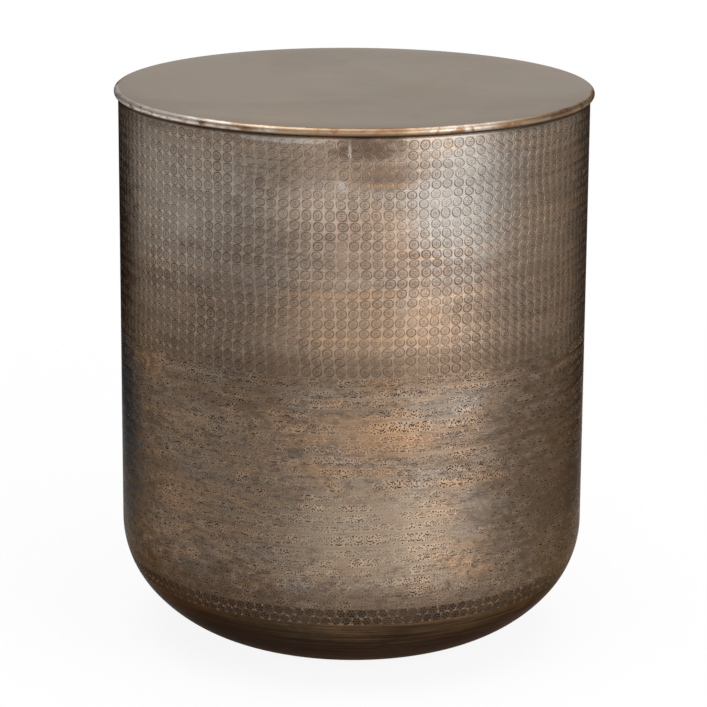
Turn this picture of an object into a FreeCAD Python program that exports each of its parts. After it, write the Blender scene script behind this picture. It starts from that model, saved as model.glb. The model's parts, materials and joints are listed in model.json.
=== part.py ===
import FreeCAD, Part
import math
import os
import Sketcher

# A drum side table of sheet metal: a hollow drum with a loose lid.
# The origin is on the floor under the middle of the drum, +Z is up and the front is -Y.

DRIVING_SIZES = {
    "table_height": 470.0,          # floor to the flat top
    "rim_radius": 200.0,            # outside of the bead round the lid
    "rim_overhang": 3.5,            # bead past the drum's wall
    "lid_sheet": 0.9,
    "rim_wire": 4.6,                # diameter of the wire in the lid's bead
    "wire_slack": 0.3,              # room round each wire in its rolled edge
    "wall_sheet": 0.9,
    "mouth_wire": 4.6,              # diameter of the wire in the drum's rolled mouth
    "seat_gap": 0.3,                # lid's bead to the rolled mouth that carries it
    "seam_height": 270.0,           # lower edge of the upper wall
    "strip_width": 16.0,            # strip behind the wall's front seam
    "strip_sheet": 0.9,
    "strip_end_gap": 2.0,
    "braze_film": 0.1,
    "bowl_sheet": 0.9,
    "lap_height": 12.0,             # bowl's edge inside the upper wall
    "joggle_height": 1.5,           # step that sets that edge inwards
    "knuckle_radius": 86.0,         # upper arc of the soft corner
    "knuckle_turn": 39.4,           # degrees turned by that arc
    "crown_radius": 121.0,          # flatter arc below it
    "crown_end": 75.0,              # degrees turned where the crown ends
    "base_corner": 20.0,            # small arc into the flat base
    "recess_depth": 4.0,            # pressed-up middle of the base
    "recess_run": 4.0,              # length of the slope into it
    "foot_height": 4.0,             # under the base
    "foot_radius": 13.0,
    "foot_margin": 4.0,             # flat base left round each foot
    "foot_bearing": 45.0,           # degrees from +X to the first foot
    "stem_radius": 4.0,
    "stem_clearance": 0.2,
    "barb_radius": 6.0,
    "barb_height": 3.0,
    "ring_depth": 20.0,             # hoop under the lid
    "ring_strip": 2.0,
    "ring_clearance": 1.5,          # hoop to the rolled mouth
    "bar_height": 18.0,             # bars on edge under the lid
    "bar_thickness": 4.0,
    "weld_gap": 0.1,                # bar's end to the hoop
    "halving_clearance": 0.2,
}
FOOT_COUNT = 4
DEGREES_PER_RADIAN = 180.0 / math.pi
FRONT_BEARING = -90.0               # degrees from +X round to the front

document = FreeCAD.newDocument("drum_side_table")
sheet = document.addObject("Spreadsheet::Sheet", "Sizes")
for row, (alias, number) in enumerate(DRIVING_SIZES.items(), start=1):
    sheet.set(f"A{row}", alias)
    sheet.set(f"B{row}", str(number))
    sheet.setAlias(f"B{row}", alias)
document.recompute()


class Size:
    """A size as its present number and as the sheet expression that drives it."""

    def __init__(self, number, text):
        self.number = number
        self.text = text

    def __add__(self, other):
        other = as_size(other)
        return Size(self.number + other.number, f"({self.text} + {other.text})")

    def __sub__(self, other):
        other = as_size(other)
        return Size(self.number - other.number, f"({self.text} - {other.text})")

    def __rsub__(self, other):
        return as_size(other) - self

    def __mul__(self, other):
        other = as_size(other)
        return Size(self.number * other.number, f"({self.text} * {other.text})")

    def __truediv__(self, other):
        other = as_size(other)
        return Size(self.number / other.number, f"({self.text} / {other.text})")


def as_size(value):
    return value if isinstance(value, Size) else Size(value, str(value))


def from_sheet(alias):
    return Size(float(sheet.get(alias)), f"Sizes.{alias}")


def cosine(angle):
    return Size(math.cos(math.radians(angle.number)), f"cos({angle.text})")


def sine(angle):
    return Size(math.sin(math.radians(angle.number)), f"sin({angle.text})")


def root(value):
    return Size(math.sqrt(value.number), f"sqrt({value.text})")


def line_to(across, up):
    return {"end": (as_size(across), as_size(up))}


def arc_to(across, up, centre, radius, turn):
    """An arc to a point, turning +1 counter-clockwise or -1 clockwise about its centre."""
    step = line_to(across, up)
    step.update(centre=centre, radius=radius, turn=turn)
    return step


def vector(point):
    return FreeCAD.Vector(point[0].number, point[1].number, 0)


def add_stretch(sketch, start, step):
    """Adds one line or arc and returns its index with its first and last point positions."""
    end = step["end"]
    if "turn" not in step:
        return sketch.addGeometry(Part.LineSegment(vector(start), vector(end))), 1, 2
    centre = vector(step["centre"])
    circle = Part.Circle(centre, FreeCAD.Vector(0, 0, 1), step["radius"].number)
    out_start = vector(start) - centre
    out_end = vector(end) - centre
    angles = [math.atan2(out.y, out.x) for out in (out_start, out_end)]
    positions = (1, 2)
    if step["turn"] < 0:
        angles.reverse()
        positions = (2, 1)
    if angles[1] <= angles[0]:
        angles[1] += 2 * math.pi
    index = sketch.addGeometry(Part.ArcOfCircle(circle, angles[0], angles[1]))
    radius_name = f"radius_{index}"
    constraint = sketch.addConstraint(Sketcher.Constraint("Radius", index, step["radius"].number))
    sketch.renameConstraint(constraint, radius_name)
    sketch.setExpression(f"Constraints.{radius_name}", step["radius"].text)
    return index, positions[0], positions[1]


def pin_point(sketch, index, position, point):
    """Holds one point of a sketch at driven distances from the sketch's origin."""
    for kind, axis, size in (("DistanceX", -2, point[0]), ("DistanceY", -1, point[1])):
        if size.text == "0":
            sketch.addConstraint(Sketcher.Constraint("PointOnObject", index, position, axis))
            continue
        constraint = sketch.addConstraint(
            Sketcher.Constraint(kind, -1, 1, index, position, size.number))
        name = f"{kind}_{index}"
        sketch.renameConstraint(constraint, name)
        sketch.setExpression(f"Constraints.{name}", size.text)


def add_outline(sketch, steps):
    """Draws a closed outline of lines and arcs; the last step ends where the first one starts."""
    stretches = []
    start = steps[-1]["end"]
    for step in steps:
        stretches.append(add_stretch(sketch, start, step))
        start = step["end"]
    for number, (index, first, last) in enumerate(stretches):
        before, _, before_last = stretches[number - 1]
        sketch.addConstraint(Sketcher.Constraint("Coincident", before, before_last, index, first))
        pin_point(sketch, index, last, steps[number]["end"])


def new_body(label):
    body = document.addObject("PartDesign::Body", label)
    body.Label = label
    return body


def new_sketch(body, role, name):
    sketch = body.newObject("Sketcher::SketchObject", name)
    plane = [feature for feature in body.Origin.OriginFeatures if feature.Role == role][0]
    sketch.AttachmentSupport = (plane, [""])
    sketch.MapMode = "FlatFace"
    return sketch


def turned_body(label, steps, angle=None):
    """A body turned about the Z axis, all round or through an angle centred on +X."""
    body = new_body(label)
    sketch = new_sketch(body, "XZ_Plane", f"{label}_profile")
    add_outline(sketch, steps)
    turning = body.newObject("PartDesign::Revolution", f"{label}_turning")
    turning.Profile = sketch
    turning.ReferenceAxis = (sketch, ["V_Axis"])
    turning.Angle = 360.0
    if angle is not None:
        turning.Midplane = True
        turning.setExpression("Angle", angle.text)
    body.Tip = turning
    return body


def turn_about_z(node, degrees):
    node.Placement.Rotation = FreeCAD.Rotation(FreeCAD.Vector(0, 0, 1), degrees)


def wire_hoop(label, hoop_radius, wire_diameter, height):
    hoop = document.addObject("Part::Torus", label)
    hoop.Label = label
    hoop.setExpression("Radius1", hoop_radius.text)
    hoop.setExpression("Radius2", (wire_diameter / 2).text)
    hoop.setExpression("Placement.Base.z", height.text)
    return hoop


def section(inner, outer, low, high):
    """The outline of a rectangular section."""
    return [line_to(outer, low), line_to(outer, high), line_to(inner, high), line_to(inner, low)]


# Heights and radii that follow from the driving sizes
top = from_sheet("table_height")
lid_sheet = from_sheet("lid_sheet")
lid_underside = top - lid_sheet
rim_bore = from_sheet("rim_wire") / 2 + from_sheet("wire_slack")
bead_radius = rim_bore + lid_sheet
bead_across = from_sheet("rim_radius") - bead_radius
bead_up = top - bead_radius

wall_radius = from_sheet("rim_radius") - from_sheet("rim_overhang")
wall_sheet = from_sheet("wall_sheet")
wall_inside = wall_radius - wall_sheet
mouth_bore = from_sheet("mouth_wire") / 2 + from_sheet("wire_slack")
roll_radius = mouth_bore + wall_sheet
roll_across = wall_radius - roll_radius
seat_reach = bead_radius + roll_radius + from_sheet("seat_gap")
seat_offset = bead_across - roll_across
roll_up = bead_up - root(seat_reach * seat_reach - seat_offset * seat_offset)
seam_height = from_sheet("seam_height")

bowl_sheet = from_sheet("bowl_sheet")
lap_top = seam_height + from_sheet("lap_height")
lap_radius = wall_inside - from_sheet("braze_film")
joggle_low = seam_height - from_sheet("joggle_height")
knuckle_radius = from_sheet("knuckle_radius")
knuckle_turn = from_sheet("knuckle_turn")
crown_radius = from_sheet("crown_radius")
crown_end = from_sheet("crown_end")
base_corner = from_sheet("base_corner")
base_up = from_sheet("foot_height")
knuckle_drop = knuckle_radius * sine(knuckle_turn)
crown_drop = crown_radius * (sine(crown_end) - sine(knuckle_turn))
base_drop = base_corner * (1 - sine(crown_end))
corner_up = base_up + base_drop + crown_drop + knuckle_drop

foot_radius = from_sheet("foot_radius")
foot_margin = from_sheet("foot_margin")
stem_radius = from_sheet("stem_radius")
ring_outside = roll_across - roll_radius - from_sheet("ring_clearance")
ring_inside = ring_outside - from_sheet("ring_strip")


def around(centre, radius, angle):
    """The point of a corner arc after turning that many degrees from the upright wall."""
    return centre[0] + radius * cosine(angle), centre[1] - radius * sine(angle)


def centre_of(point, radius, angle):
    """The centre of the corner arc that passes through a point with that turn."""
    return point[0] - radius * cosine(angle), point[1] + radius * sine(angle)


knuckle_centre = (wall_radius - knuckle_radius, corner_up)
crown_start = around(knuckle_centre, knuckle_radius, knuckle_turn)
crown_centre = centre_of(crown_start, crown_radius, knuckle_turn)
base_start = around(crown_centre, crown_radius, crown_end)
base_centre = centre_of(base_start, base_corner, crown_end)
foot_circle = base_centre[0] - foot_margin - foot_radius
recess_outside = foot_circle - foot_radius - foot_margin
recess_inside = recess_outside - from_sheet("recess_run")
recess_up = base_up + from_sheet("recess_depth")


def make_lid_sheet():
    """Flat disc whose edge is rolled three quarters of a turn round the rim wire."""
    bead = (bead_across, bead_up)
    return turned_body("lid_sheet", [
        line_to(bead_across, top),
        arc_to(bead_across - bead_radius, bead_up, bead, bead_radius, -1),
        line_to(bead_across - rim_bore, bead_up),
        arc_to(bead_across, lid_underside, bead, rim_bore, 1),
        line_to(0, lid_underside),
        line_to(0, top),
    ])


def make_upper_wall():
    """Rolled sheet, brazed flush at the front, with its mouth rolled inwards round a wire."""
    roll = (roll_across, roll_up)
    wall_low = seam_height + from_sheet("braze_film")
    return turned_body("upper_wall", [
        line_to(wall_radius, roll_up),
        arc_to(roll_across, roll_up - roll_radius, roll, roll_radius, 1),
        line_to(roll_across, roll_up - mouth_bore),
        arc_to(wall_inside, roll_up, roll, mouth_bore, -1),
        line_to(wall_inside, wall_low),
        line_to(wall_radius, wall_low),
    ])


def make_seam_strip():
    """Strip brazed inside the wall, behind its front seam."""
    outside = wall_inside - from_sheet("braze_film")
    end_gap = from_sheet("strip_end_gap")
    strip = turned_body("seam_strip", section(
        outside - from_sheet("strip_sheet"), outside,
        lap_top + end_gap, roll_up - roll_radius - end_gap,
    ), from_sheet("strip_width") / outside * DEGREES_PER_RADIAN)
    turn_about_z(strip, FRONT_BEARING)
    return strip


def make_lower_bowl():
    """Spun bowl: lapped edge, straight wall, soft corner and a base with holes for the feet."""
    corner_inside = wall_radius - bowl_sheet
    bowl = turned_body("lower_bowl", [
        line_to(lap_radius, seam_height),
        line_to(wall_radius, joggle_low),
        line_to(wall_radius, corner_up),
        arc_to(*crown_start, knuckle_centre, knuckle_radius, -1),
        arc_to(*base_start, crown_centre, crown_radius, -1),
        arc_to(base_centre[0], base_up, base_centre, base_corner, -1),
        line_to(recess_outside, base_up),
        line_to(recess_inside, recess_up),
        line_to(0, recess_up),
        line_to(0, recess_up + bowl_sheet),
        line_to(recess_inside, recess_up + bowl_sheet),
        line_to(recess_outside, base_up + bowl_sheet),
        line_to(base_centre[0], base_up + bowl_sheet),
        arc_to(*around(base_centre, base_corner - bowl_sheet, crown_end),
               base_centre, base_corner - bowl_sheet, 1),
        arc_to(*around(crown_centre, crown_radius - bowl_sheet, knuckle_turn),
               crown_centre, crown_radius - bowl_sheet, 1),
        arc_to(corner_inside, corner_up, knuckle_centre, knuckle_radius - bowl_sheet, 1),
        line_to(corner_inside, joggle_low),
        line_to(lap_radius - bowl_sheet, seam_height),
        line_to(lap_radius - bowl_sheet, lap_top),
        line_to(lap_radius, lap_top),
    ])
    document.recompute()
    uncut_volume = bowl.Shape.Volume
    hole_radius = stem_radius + from_sheet("stem_clearance")
    bearing = from_sheet("foot_bearing")
    hole_sketch = new_sketch(bowl, "XY_Plane", "foot_hole_sketch")
    hole_centre = (foot_circle * cosine(bearing), foot_circle * sine(bearing))
    up = FreeCAD.Vector(0, 0, 1)
    hole_index = hole_sketch.addGeometry(Part.Circle(vector(hole_centre), up, hole_radius.number))
    radius_constraint = hole_sketch.addConstraint(
        Sketcher.Constraint("Radius", hole_index, hole_radius.number))
    hole_sketch.renameConstraint(radius_constraint, "hole_radius")
    hole_sketch.setExpression("Constraints.hole_radius", hole_radius.text)
    pin_point(hole_sketch, hole_index, 3, hole_centre)
    hole = bowl.newObject("PartDesign::Pocket", "foot_hole")
    hole.Profile = hole_sketch
    hole.Reversed = True
    hole.setExpression("Length", (recess_up + bowl_sheet).text)
    bowl.Tip = hole
    document.recompute()
    holes = bowl.newObject("PartDesign::PolarPattern", "foot_holes")
    holes.Originals = [hole]
    holes.Axis = (hole_sketch, ["N_Axis"])
    holes.Angle = 360.0
    holes.Occurrences = FOOT_COUNT
    bowl.Tip = holes
    document.recompute()
    cut = uncut_volume - bowl.Shape.Volume
    expected = FOOT_COUNT * math.pi * hole_radius.number ** 2 * bowl_sheet.number
    if abs(cut - expected) > 0.01 * expected:
        raise RuntimeError(f"the foot holes cut {cut:.1f} mm3, not {expected:.1f}")
    return bowl


def make_rubber_feet():
    """Push-in feet: a pad under the base, a stem through its hole and a barb above it."""
    barb_low = base_up + bowl_sheet + from_sheet("stem_clearance")
    barb_high = barb_low + from_sheet("barb_height")
    feet = []
    for number in range(FOOT_COUNT):
        foot = turned_body(f"rubber_foot_{number + 1}", [
            line_to(foot_radius, 0),
            line_to(foot_radius, base_up),
            line_to(stem_radius, base_up),
            line_to(stem_radius, barb_low),
            line_to(from_sheet("barb_radius"), barb_low),
            line_to(stem_radius, barb_high),
            line_to(0, barb_high),
            line_to(0, 0),
        ])
        bearing = from_sheet("foot_bearing") + number * 360 / FOOT_COUNT
        foot.setExpression("Placement.Base.x", (foot_circle * cosine(bearing)).text)
        foot.setExpression("Placement.Base.y", (foot_circle * sine(bearing)).text)
        feet.append(foot)
    return feet


def make_brace_bar(label, role, notch_at_top):
    """Flat bar on edge under the lid, from hoop to hoop, notched where the other bar crosses."""
    half_length = ring_inside - from_sheet("weld_gap")
    bar_low = lid_underside - from_sheet("bar_height")
    half_notch = (from_sheet("bar_thickness") + from_sheet("halving_clearance")) / 2
    half_slack = from_sheet("halving_clearance") / 2
    middle = lid_underside - from_sheet("bar_height") / 2
    left = 0 - half_length
    left_notch = 0 - half_notch
    if notch_at_top:
        notch_edge, notch_end, far_edge = lid_underside, middle - half_slack, bar_low
    else:
        notch_edge, notch_end, far_edge = bar_low, middle + half_slack, lid_underside
    bar = new_body(label)
    sketch = new_sketch(bar, role, f"{label}_side")
    add_outline(sketch, [
        line_to(left_notch, notch_edge),
        line_to(left_notch, notch_end),
        line_to(half_notch, notch_end),
        line_to(half_notch, notch_edge),
        line_to(half_length, notch_edge),
        line_to(half_length, far_edge),
        line_to(left, far_edge),
        line_to(left, notch_edge),
    ])
    pad = bar.newObject("PartDesign::Pad", f"{label}_pad")
    pad.Profile = sketch
    pad.SideType = "Symmetric"
    pad.setExpression("Length", "Sizes.bar_thickness")
    bar.Tip = pad
    return bar


nodes = [
    make_lid_sheet(),
    wire_hoop("rim_wire", bead_across, from_sheet("rim_wire"), bead_up),
    turned_body("locating_ring", section(
        ring_inside, ring_outside, lid_underside - from_sheet("ring_depth"), lid_underside)),
    make_brace_bar("brace_bar_long", "XZ_Plane", notch_at_top=False),
    make_brace_bar("brace_bar_cross", "YZ_Plane", notch_at_top=True),
    make_upper_wall(),
    wire_hoop("mouth_wire", roll_across, from_sheet("mouth_wire"), roll_up),
    make_seam_strip(),
    make_lower_bowl(),
]
nodes.extend(make_rubber_feet())
document.recompute()

for item in document.Objects:
    if "Invalid" in item.State or "Error" in item.State:
        raise RuntimeError(f"{item.Label} failed to rebuild")
for node in nodes:
    if node.Shape.isNull() or not node.Shape.isValid() or len(node.Shape.Solids) != 1:
        raise RuntimeError(f"{node.Label} isn't one valid solid")

os.makedirs("parts", exist_ok=True)
for node in nodes:
    node.Shape.exportStep(f"parts/{node.Label}.step")
    box = node.Shape.optimalBoundingBox()
    print(f"{node.Label}: volume {node.Shape.Volume / 1000:.2f} cm3, "
          f"z {box.ZMin:.2f} to {box.ZMax:.2f}, across {box.XLength:.2f} by {box.YLength:.2f}")
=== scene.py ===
import bpy
import bmesh
import json
import random
from math import asin, atan2, cos, hypot, pi, radians, sin
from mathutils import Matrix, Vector, noise
from mathutils.geometry import delaunay_2d_cdt

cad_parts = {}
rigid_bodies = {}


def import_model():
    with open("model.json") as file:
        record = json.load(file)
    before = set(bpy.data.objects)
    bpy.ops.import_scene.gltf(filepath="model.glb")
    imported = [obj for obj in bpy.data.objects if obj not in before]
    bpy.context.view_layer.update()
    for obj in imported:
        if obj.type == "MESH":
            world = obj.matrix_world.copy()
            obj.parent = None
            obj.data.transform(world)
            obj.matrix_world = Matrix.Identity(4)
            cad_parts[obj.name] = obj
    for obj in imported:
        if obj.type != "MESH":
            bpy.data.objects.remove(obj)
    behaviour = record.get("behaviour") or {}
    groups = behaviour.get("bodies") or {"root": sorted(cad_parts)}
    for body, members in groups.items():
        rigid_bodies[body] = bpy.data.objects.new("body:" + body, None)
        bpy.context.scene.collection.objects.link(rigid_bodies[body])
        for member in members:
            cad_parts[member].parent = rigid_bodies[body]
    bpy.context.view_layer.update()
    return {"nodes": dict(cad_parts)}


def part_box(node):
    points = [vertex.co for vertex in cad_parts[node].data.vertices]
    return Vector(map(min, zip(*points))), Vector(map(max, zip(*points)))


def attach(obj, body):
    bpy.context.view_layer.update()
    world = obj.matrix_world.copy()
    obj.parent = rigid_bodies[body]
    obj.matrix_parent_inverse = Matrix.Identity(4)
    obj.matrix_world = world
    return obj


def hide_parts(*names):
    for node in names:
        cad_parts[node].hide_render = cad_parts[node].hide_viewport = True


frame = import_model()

# Drum side table: loose lid on a punched drum, metres, front is -Y, floor at z = 0

mm = 0.001
fullTurn = 2 * pi
scene = bpy.context.scene
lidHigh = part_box("lid_sheet")[1]
wallLow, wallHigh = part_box("upper_wall")
bowlLow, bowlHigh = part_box("lower_bowl")

# the drum's form, the same numbers as the solids
drumForm = {
    "radius": wallHigh.x,
    "sheet": 0.9 * mm,
    "joggleLow": 268.5 * mm,  # where the bowl's edge starts to step in
    "seam": 270.0 * mm,
    "lapRadius": 195.5 * mm,  # bowl's edge inside the upper wall
    "lapTop": bowlHigh.z,
    "cornerUp": 99.34 * mm,  # straight wall ends here
    "knuckle": 86.0 * mm,
    "knuckleTurn": radians(39.4),
    "crown": 121.0 * mm,
    "crownEnd": radians(75.0),
    "baseCorner": 20.0 * mm,
    "baseUp": bowlLow.z,
    "sharpAngle": 8,  # keeps the punch marks crisp
}


def newObject(name, data, collection=scene.collection):
    obj = bpy.data.objects.new(name, data)
    collection.objects.link(obj)
    return obj


def dress(mesh, finish):
    mesh.materials.clear()
    mesh.materials.append(finish)


def addPiece(name, mesh, finish, sharpAngle, body, node):
    # smooth, with creases kept along the punch marks and sheet edges
    for face in mesh.polygons:
        face.use_smooth = True
    mesh.set_sharp_from_angle(angle=radians(sharpAngle))
    mesh.update()
    dress(mesh, finish)
    piece = newObject(name, mesh)
    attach(piece, body)
    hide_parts(node)
    print(name, sum(len(face.vertices) - 2 for face in mesh.polygons), "triangles")


# node helpers; a helper finds its tree from the sockets that it is given


def treeOf(*values):
    return next(value.id_data for value in values if isinstance(value, bpy.types.NodeSocket))


def feed(value, socket):
    if isinstance(value, bpy.types.NodeSocket):
        socket.id_data.links.new(value, socket)
    else:
        socket.default_value = (*value, 1) if socket.type == "RGBA" else value


def addNode(tree, kind, values=None, **settings):
    node = tree.nodes.new(kind)
    for key, value in settings.items():
        setattr(node, key, value)
    for key, value in (values or {}).items():
        feed(value, node.inputs[key])
    return node


def made(kind, values, output=0, **settings):
    return addNode(treeOf(*values.values()), "ShaderNode" + kind, values, **settings).outputs[output]


def calc(operation, *values, clamp=False):
    return made("Math", dict(enumerate(values)), operation=operation, use_clamp=clamp)


def plus(first, second):
    return calc("ADD", first, second)


def minus(first, second):
    return calc("SUBTRACT", first, second)


def times(first, second):
    return calc("MULTIPLY", first, second)


def over(first, second):
    return calc("DIVIDE", first, second)


def ramp(*values):
    # value, low, high and what these two give, 0 and 1 if left out
    return made("MapRange", dict(enumerate(values)), interpolation_type="SMOOTHSTEP")


def mixColor(factor, first, second, blend="MIX"):
    return made("Mix", {0: factor, 6: first, 7: second}, 2, data_type="RGBA", blend_type=blend)


def scaleColor(color, factor):
    grey = addNode(treeOf(color), "ShaderNodeCombineColor", dict.fromkeys(range(3), factor))
    return mixColor(1.0, color, grey.outputs[0], "MULTIPLY")


def stretched(vector, scale, offset=(0, 0, 0)):
    return made("VectorMath", {0: vector, 1: scale, 2: offset}, operation="MULTIPLY_ADD")


def lengthOf(vector):
    return made("VectorMath", {0: vector}, "Value", operation="LENGTH")


def axesOf(vector):
    return addNode(treeOf(vector), "ShaderNodeSeparateXYZ", {0: vector}).outputs


def joinAxes(x, y, z=0.0):
    return made("CombineXYZ", {0: x, 1: y, 2: z})


def grain(vector, scale, detail=3.0, rough=0.5, twist=0.0):
    return made("TexNoise", {
        "Vector": vector, "Scale": scale, "Detail": detail, "Roughness": rough, "Distortion": twist})


def objectCoords(tree):
    return addNode(tree, "ShaderNodeTexCoord").outputs["Object"]


socketKinds = {tuple: "Color", float: "Float", int: "Int"}


def newGroup(name, kind, inputs, outputs):
    # an input is given its default, or the kind of a socket that has none
    tree = bpy.data.node_groups.new(name, kind)
    for label, value in inputs.items():
        socketKind = socketKinds.get(type(value), value)
        socket = tree.interface.new_socket(label, in_out="INPUT", socket_type="NodeSocket" + socketKind)
        if socketKind != value:
            socket.default_value = (*value, 1) if type(value) is tuple else value
    for label, socketKind in outputs.items():
        tree.interface.new_socket(label, in_out="OUTPUT", socket_type="NodeSocket" + socketKind)
    return tree, tree.nodes.new("NodeGroupInput").outputs, tree.nodes.new("NodeGroupOutput").inputs


# finishes

patinaGrains = {
    # stretch, offset, scale, detail, roughness, twist
    "band": ((0.7, 0.7, 2.2), (0, 0, 0), 7, 6, 0.6, 0.3),
    "tone": ((1, 1, 1), (3.7, 1.9, 8.3), 17, 7, 0.66, 0.5),
    "blotch": ((1, 1, 1.8), (5.1, 2.3, 0.7), 22, 6, 0.62, 0.5),
    "stain": ((1, 1, 2.4), (2.2, 6.1, 4.9), 92, 5, 0.66, 0.6),
    "streak": ((5, 5, 130), (0.7, 3.1, 1.0), 1, 4, 0.6, 0),
    "speckle": ((1, 1, 1.7), (1.3, 4.4, 2.2), 640, 3, 0.7, 0.4),
    "turning": ((9, 9, 1100), (0, 0, 0), 1, 3, 0.7, 0),
}
patinaLayers = [
    # grain, where it starts and is full, strength, amount, tint
    ("tone", 0.48, 0.66, 1.0, "Copper Amount", "Copper"),
    ("tone", 0.49, 0.34, 1.0, "Grey Amount", "Grey"),
    ("band", 0.54, 0.34, 1.0, "Dark Amount", "Dark"),
    ("blotch", 0.53, 0.72, 0.6, "Dark Amount", "Dark"),
    ("streak", 0.53, 0.68, 1.0, "Streaks", "Copper"),
    ("streak", 0.47, 0.32, 0.6, "Streaks", "Dark"),
    ("stain", 0.46, 0.66, 1.0, "Stain Amount", "Stain"),
]


def buildPatinaGroup():
    # turned and toned bronze: mottled tones, thin streaks round the axis, speckle and fine turning lines
    tree, given, end = newGroup("turnedPatina", "ShaderNodeTree", {
        **dict.fromkeys(("Metal", "Copper", "Grey", "Dark", "Low Tone And Shade", "Stain"), (0.2, 0.15, 0.1)),
        "Stain Amount": 0.0, "Copper Amount": 0.5, "Grey Amount": 0.5, "Dark Amount": 0.4,
        "Streaks": 0.4, "Speckle": 0.3, "Line Contrast": 0.2,
        "Low Shade Top": 0.11, "Low Shade Bottom": 0.03, "Low Shade Amount": 0.0,  # heights between which the darker colour low down comes in, partly darker patina and partly painted shade
        "Pull": 2.0,  # flattens the band and tone grains
        "Sheen Roughness": 0.42,
    }, {"Color": "Color", "Roughness": "Float", "Height": "Float"})
    coords = objectCoords(tree)
    axes = axesOf(coords)
    pulled = joinAxes(axes["X"], axes["Y"], times(axes["Z"], given["Pull"]))
    grains = {}
    for name, (stretch, offset, *kind) in patinaGrains.items():
        grains[name] = grain(stretched(pulled if name in ("band", "tone") else coords, stretch, offset), *kind)
    color = given["Metal"]
    for name, low, high, strength, amount, tint in patinaLayers:
        mask = times(ramp(grains[name], low, high, 0.0, strength), given[amount])
        color = mixColor(mask, color, given[tint])
    # darker towards the bottom: partly darker patina, partly painted shade near the floor
    lowToneAndShade = times(ramp(axes["Z"], given["Low Shade Top"], given["Low Shade Bottom"]), given["Low Shade Amount"])
    color = mixColor(lowToneAndShade, color, given["Low Tone And Shade"])
    lined = times(ramp(grains["turning"], 0.32, 0.68, -0.5, 0.5), given["Line Contrast"])
    specks = times(calc("MULTIPLY_ADD", grains["speckle"], 2.0, -1.0), given["Speckle"])
    feed(scaleColor(color, plus(plus(lined, specks), 1.0)), end["Color"])
    dulled = times(ramp(grains["band"], 0.54, 0.34, 0.0, 0.1), given["Dark Amount"])
    rough = plus(plus(given["Sheen Roughness"], dulled), ramp(grains["turning"], 0.3, 0.7, -0.04, 0.04))
    feed(rough, end["Roughness"])
    feed(grains["turning"], end["Height"])
    return tree


def buildSootGroup():
    # the dark toning left in each punch mark, and lighter metal beside it: partly rubbed wear, partly a painted
    # glint on the mark's edge
    tree, given, end = newGroup("punchSoot", "ShaderNodeTree", {
        "Color": (0.3, 0.24, 0.18),
        "Roughness": 0.42,
        "Mark": 0.0,  # 1 deep in a mark, 0 in the field, below 0 where rubbed and glinting
        "Press": 1.0,
        "Soot": (0.035, 0.025, 0.02),
        "Soot Amount": 0.85,
        "Rubbed And Glint": 0.3,
    }, {"Color": "Color", "Roughness": "Float"})
    deep = times(ramp(given["Mark"], 0.0, 0.3), given["Press"])
    proud = times(ramp(given["Mark"], 0.0, -0.3), given["Press"])
    amount = calc("MULTIPLY", deep, given["Soot Amount"], clamp=True)
    # painted glint and rubbed wear lighten the metal beside a mark
    lighter = scaleColor(given["Color"], calc("MULTIPLY_ADD", proud, given["Rubbed And Glint"], 1.0))
    feed(mixColor(amount, lighter, given["Soot"]), end["Color"])
    feed(plus(given["Roughness"], times(amount, 0.15)), end["Roughness"])
    return tree


patinaGroup = buildPatinaGroup()
sootGroup = buildSootGroup()


def newMaterial(name, sockets):
    material = bpy.data.materials.new(name)
    material.use_nodes = True
    shader = material.node_tree.nodes["Principled BSDF"]
    for key, value in sockets.items():
        feed(value, shader.inputs[key])
    return material, material.node_tree, shader


def placeGroup(tree, group, values):
    # takes the values that the group has inputs for
    node = addNode(tree, "ShaderNodeGroup", node_tree=group)
    for socket in node.inputs:
        if socket.name in values:
            feed(values[socket.name], socket)
    return node.outputs


def shade(shader, color, rough, height, strength, distance):
    bump = addNode(treeOf(height), "ShaderNodeBump", {"Height": height, "Strength": strength, "Distance": distance})
    for key, value in (("Base Color", color), ("Roughness", rough), ("Normal", bump.outputs[0])):
        feed(value, shader.inputs[key])


# looks of the punched metal; the keys are inputs of the two groups and of the shader
circleLook = {
    "Metal": (0.315, 0.245, 0.188), "Copper": (0.36, 0.243, 0.158), "Grey": (0.305, 0.272, 0.238),
    "Dark": (0.18, 0.128, 0.094), "Low Tone And Shade": (0.215, 0.148, 0.1), "Stain": (0.2, 0.152, 0.12),
    "Stain Amount": 0.3, "Copper Amount": 0.5, "Grey Amount": 0.55, "Dark Amount": 0.6,
    "Streaks": 0.75, "Speckle": 0.95, "Line Contrast": 0.2,
    "Low Shade Top": 0.38, "Low Shade Bottom": 0.28, "Low Shade Amount": 0.7,
    "Soot Amount": 0.52, "Rubbed And Glint": 0.3, "Coat Weight": 0.1,
}
sprigLook = {
    "Metal": (0.216, 0.158, 0.113), "Copper": (0.282, 0.175, 0.102), "Grey": (0.212, 0.182, 0.152),
    "Dark": (0.11, 0.074, 0.05), "Low Tone And Shade": (0.1, 0.064, 0.041), "Stain": (0.088, 0.066, 0.053),
    "Stain Amount": 0.78, "Copper Amount": 0.75, "Grey Amount": 0.7, "Dark Amount": 0.5,
    "Streaks": 0.6, "Speckle": 0.8, "Line Contrast": 0.18,
    "Low Shade Top": 0.11, "Low Shade Bottom": 0.06, "Low Shade Amount": 0.6,
    "Soot Amount": 0.76, "Rubbed And Glint": 0.45, "Coat Weight": 0.05,
}
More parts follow.
